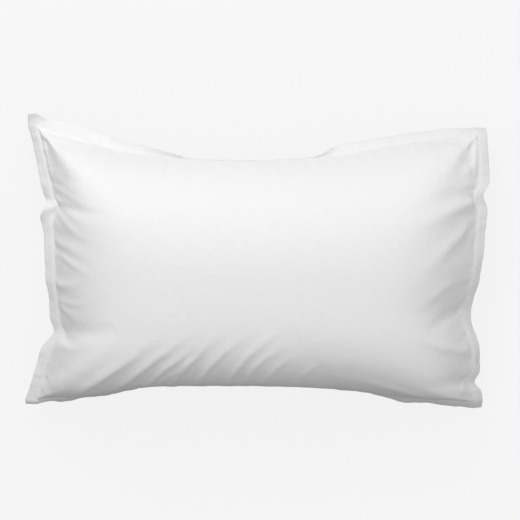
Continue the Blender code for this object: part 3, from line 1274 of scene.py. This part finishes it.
class Patterns:
    """The node groups that the cotton cloth and the cotton thread share."""

    def __init__(self) -> None:
        """Builds each group once."""
        self.weave = self.build_weave()
        self.slubs = self.build_slubs()
        self.crumple = self.build_crumple()

    def build_weave(self) -> bpy.types.NodeTree:
        """A plain weave: one sine across times one sine up, so that threads pass over in turn.

        Returns:
            The group, with its height from 0 to 1.
        """
        wiring, given = pattern_group("plain_weave", ("Pitch",))
        parts = wiring.add("SeparateXYZ", {0: given.outputs["Place"]})
        turns = wiring.math("DIVIDE", 2.0 * math.pi, given.outputs["Pitch"])
        across = wiring.math("SINE", wiring.math("MULTIPLY", parts.outputs["X"], turns))
        up = wiring.math("SINE", wiring.math("MULTIPLY", parts.outputs["Y"], turns))
        height = wiring.math("MULTIPLY_ADD", wiring.math("MULTIPLY", across, up), 0.5, 0.5)
        wiring.add("NodeGroupOutput", {"Height": height})
        return wiring.tree

    def build_slubs(self) -> bpy.types.NodeTree:
        """Uneven threads: noise drawn out long and thin, once across and once up, and averaged.

        Returns:
            The group, with its height from 0 to 1.
        """
        wiring, given = pattern_group("uneven_threads", ("Length", "Width"))
        length, width = given.outputs["Length"], given.outputs["Width"]
        heights = []
        for x, y in ((length, width), (width, length)):
            size = wiring.add("CombineXYZ", {"X": x, "Y": y, "Z": 1.0})
            inputs = {0: given.outputs["Place"], 1: size.outputs[0]}
            place = wiring.add("VectorMath", inputs, operation="DIVIDE")
            noise = {"Vector": place.outputs[0], "Scale": 1.0, "Detail": 2.0, "Roughness": 0.6}
            heights.append(wiring.add("TexNoise", noise).outputs[0])
        height = wiring.math("MULTIPLY", wiring.math("ADD", *heights), 0.5)
        wiring.add("NodeGroupOutput", {"Height": height})
        return wiring.tree

    def build_crumple(self) -> bpy.types.NodeTree:
        """Soft crumpling: bent noise folded about its middle, so that it forms rounded ridges.

        Returns:
            The group, with its height 1 along the ridges and less beside them.
        """
        wiring, given = pattern_group("soft_crumpling", ("Size",))
        scale = wiring.math("DIVIDE", 1.0, given.outputs["Size"])
        noise = {"Vector": given.outputs["Place"], "Scale": scale, "Detail": 3.0}
        noise |= {"Roughness": 0.45, "Distortion": 0.6}
        value = wiring.add("TexNoise", noise).outputs[0]
        # Noise lies mostly between a quarter and three quarters, so this runs from -1 to 1.
        centred = wiring.math("MULTIPLY_ADD", value, 4.0, -2.0)
        from_ridge = wiring.math("ABSOLUTE", centred)
        wiring.add("NodeGroupOutput", {"Height": wiring.math("SUBTRACT", 1.0, from_ridge)})
        return wiring.tree


@dataclass(frozen=True)
class Cotton:
    """White percale, dyed evenly and pressed, with the thread's own unevenness."""

    patterns: Patterns
    bake_span: float
    light: tuple[float, ...] = (0.90, 0.90, 0.90, 1.0)
    shade: tuple[float, ...] = (0.875, 0.875, 0.875, 1.0)
    roughness: float = 0.86
    specular: float = 0.25
    sheen: float = 0.12
    sheen_roughness: float = 0.5
    # The heights of the threads that show all of the shade and all of the light.
    thin_thread: float = 0.35
    full_thread: float = 0.62
    weave_pitch: float = 0.55
    weave_depth: float = 0.03
    slub_length: float = 26.0
    slub_width: float = 1.6
    slub_depth: float = 0.10
    crumple_size: float = 26.0
    crumple_depth: float = 0.22

    def material(self) -> bpy.types.Material:
        """Builds the cloth's material, whose patterns lie on the flat cloth in millimetres.

        Returns:
            The material.
        """
        made = bpy.data.materials.new("white_cotton_cloth")
        made.use_nodes = True
        wiring = Wiring(made.node_tree)
        map_node = wiring.add("UVMap", uv_map=UV_NAME)
        scale = (self.bake_span,) * 3
        place = wiring.add("Mapping", {"Vector": map_node.outputs[0], "Scale": scale}).outputs[0]
        weave = wiring.group(self.patterns.weave, place=place, pitch=self.weave_pitch)
        slub_size = {"length": self.slub_length, "width": self.slub_width}
        slubs = wiring.group(self.patterns.slubs, place=place, **slub_size)
        crumple = wiring.group(self.patterns.crumple, place=place, size=self.crumple_size)
        tone = wiring.spread(slubs, self.thin_thread, self.full_thread)
        colour = wiring.add("Mix", {0: tone, 6: self.shade, 7: self.light}, data_type="RGBA")
        threads = wiring.math("MULTIPLY", weave, self.weave_depth * MM)
        threads = wiring.math("MULTIPLY_ADD", slubs, self.slub_depth * MM, threads)
        height = wiring.math("MULTIPLY_ADD", crumple, self.crumple_depth * MM, threads)
        bump = wiring.add("Bump", {"Height": height, "Distance": 1.0, "Strength": 1.0})
        inputs = {
            "Base Color": colour.outputs[2],
            "Roughness": self.roughness,
            "Sheen Weight": self.sheen,
            "Sheen Roughness": self.sheen_roughness,
            "Specular IOR Level": self.specular,
            "Normal": bump.outputs[0],
        }
        shader = wiring.add("BsdfPrincipled", inputs)
        wiring.add("OutputMaterial", {"Surface": shader.outputs[0]})
        return made


@dataclass(frozen=True)
class Thread:
    """The white cotton thread of the topstitching, a little smoother than the cloth."""

    patterns: Patterns
    # The colours on the twist's crests and in its hollows: the darker one is painted shade.
    light: tuple[float, ...] = (0.92, 0.92, 0.92, 1.0)
    shade: tuple[float, ...] = (0.84, 0.84, 0.84, 1.0)
    roughness: float = 0.7
    sheen: float = 0.1
    twist_pitch: float = 0.5
    twist_depth: float = 0.05

    def material(self) -> bpy.types.Material:
        """Builds the thread's material, with its twist as a fine weave in the object's space: a bump,
        and painted shade that darkens the twist's hollows in the colour.

        Returns:
            The material.
        """
        made = bpy.data.materials.new("white_cotton_thread")
        made.use_nodes = True
        wiring = Wiring(made.node_tree)
        coordinates = wiring.add("TexCoord").outputs["Object"]
        scale = (1.0 / MM,) * 3
        place = wiring.add("Mapping", {"Vector": coordinates, "Scale": scale}).outputs[0]
        twist_and_painted_shade = wiring.group(self.patterns.weave, place=place, pitch=self.twist_pitch)
        # Painted shade: the colour is darker where the twist is low and lighter where it is high.
        colour = wiring.add("Mix", {0: twist_and_painted_shade, 6: self.shade, 7: self.light}, data_type="RGBA")
        height = wiring.math("MULTIPLY", twist_and_painted_shade, self.twist_depth * MM)
        bump = wiring.add("Bump", {"Height": height, "Distance": 1.0})
        inputs = {
            "Base Color": colour.outputs[2],
            "Roughness": self.roughness,
            "Sheen Weight": self.sheen,
            "Normal": bump.outputs[0],
        }
        shader = wiring.add("BsdfPrincipled", inputs)
        wiring.add("OutputMaterial", {"Surface": shader.outputs[0]})
        return made


# Studio --------------------


@dataclass(frozen=True)
class Softbox:
    """A rectangular studio light, in metres and watts, aimed at the case."""

    name: str
    place: tuple[float, float, float]
    size: tuple[float, float]
    power: float
    aim: tuple[float, float, float] = (0.0, 0.0, 0.08)

    def build(self) -> None:
        """Hangs the light."""
        light = bpy.data.lights.new(self.name, "AREA")
        light.shape = "RECTANGLE"
        light.size, light.size_y = self.size
        light.energy = self.power
        lamp = bpy.data.objects.new(self.name, light)
        bpy.context.scene.collection.objects.link(lamp)
        lamp.location = self.place
        way = Vector(self.aim) - Vector(self.place)
        lamp.rotation_euler = way.to_track_quat("-Z", "Y").to_euler()


@dataclass(frozen=True)
class Studio:
    """The pale floor, the soft lights and the camera, in metres."""

    lights: tuple[Softbox, ...] = (
        Softbox("main_softbox", (-0.42, 1.25, 1.4), (1.0, 0.8), 15.2),
        Softbox("right_fill", (1.3, 0.1, 0.7), (0.8, 0.8), 1.6),
    )
    world_light: float = 0.57
    world_slope: float = 0.15
    floor_size: float = 6.0
    floor_level: float = -0.0005
    floor_tone: float = 0.93
    floor_bounce: float = 0.1
    floor_glow: float = 0.92
    camera_height: float = 2.6
    # The image's side, the pixel column and row of the case's middle, and how much a pixel shows
    # at the level of the seam.
    image_pixels: float = 520.0
    middle_column: float = 256.5
    middle_row: float = 261.5
    pixel: float = 0.001585
    seam_level: float = 0.060

    def build(self) -> None:
        """Sets up the floor, the lights, the world and the camera."""
        self.build_floor()
        for light in self.lights:
            light.build()
        world = bpy.data.worlds.new("studio")
        world.use_nodes = True
        wiring = Wiring(world.node_tree)
        way = wiring.add("SeparateXYZ", {0: wiring.add("TexCoord").outputs["Generated"]})
        light = wiring.math("MULTIPLY_ADD", way.outputs["Y"], self.world_slope, self.world_light)
        white = (1.0, 1.0, 1.0, 1.0)
        background = wiring.add("Background", {"Color": white, "Strength": light})
        wiring.add("OutputWorld", {"Surface": background.outputs[0]})
        bpy.context.scene.world = world
        bpy.context.scene.view_settings.view_transform = "Standard"
        self.build_camera()

    def build_floor(self) -> None:
        """Lays the floor, which glows to the camera so that shadows on it stay faint."""
        half = self.floor_size / 2.0
        corners = np.array([(-half, -half, 0), (half, -half, 0), (half, half, 0), (-half, half, 0)])
        corners[:, 2] = self.floor_level
        floor = mesh_object("floor", corners, [np.array([[0, 1, 2, 3]])])
        made = bpy.data.materials.new("pale_floor")
        made.use_nodes = True
        wiring = Wiring(made.node_tree)
        tone, bounce = ((value,) * 3 + (1.0,) for value in (self.floor_tone, self.floor_bounce))
        glow = wiring.add("Emission", {"Color": tone})
        seen = wiring.add("LightPath").outputs["Is Camera Ray"]
        colour = wiring.add("Mix", {0: seen, 6: bounce, 7: tone}, data_type="RGBA")
        plain = wiring.add("BsdfDiffuse", {"Color": colour.outputs[2]})
        share = wiring.math("MULTIPLY", seen, self.floor_glow)
        mixed = wiring.add("MixShader", {0: share, 1: plain.outputs[0], 2: glow.outputs[0]})
        wiring.add("OutputMaterial", {"Surface": mixed.outputs[0]})
        floor.data.materials.append(made)

    def build_camera(self) -> None:
        """Looks straight down on the case, as the photo does."""
        data = bpy.data.cameras.new("camera")
        camera = bpy.data.objects.new("camera", data)
        bpy.context.scene.collection.objects.link(camera)
        seen_width = self.image_pixels * self.pixel
        data.lens = data.sensor_width * (self.camera_height - self.seam_level) / seen_width
        aside = (self.image_pixels / 2.0 - self.middle_column) * self.pixel
        above = (self.middle_row - self.image_pixels / 2.0) * self.pixel
        camera.location = (aside, above, self.camera_height)
        bpy.context.scene.camera = camera


# Making --------------------


def main() -> None:
    """Builds the case, its stitches and the studio around the solid's frame."""
    logging.basicConfig(level=logging.INFO, format="%(name)s: %(message)s")
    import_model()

    case = Case()
    cloth = case.build(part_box(NODE))
    stitches = Topstitching().build(case.stitch_lines())
    patterns = Patterns()
    cloth.data.materials.append(Cotton(patterns, case.bake_span).material())
    stitches.data.materials.append(Thread(patterns).material())
    for piece in (cloth, stitches):
        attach(piece, "root")
        LOG.info("%s: %d faces", piece.name, len(piece.data.polygons))
    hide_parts(NODE)

    Studio().build()


if __name__ == "__main__":
    main()
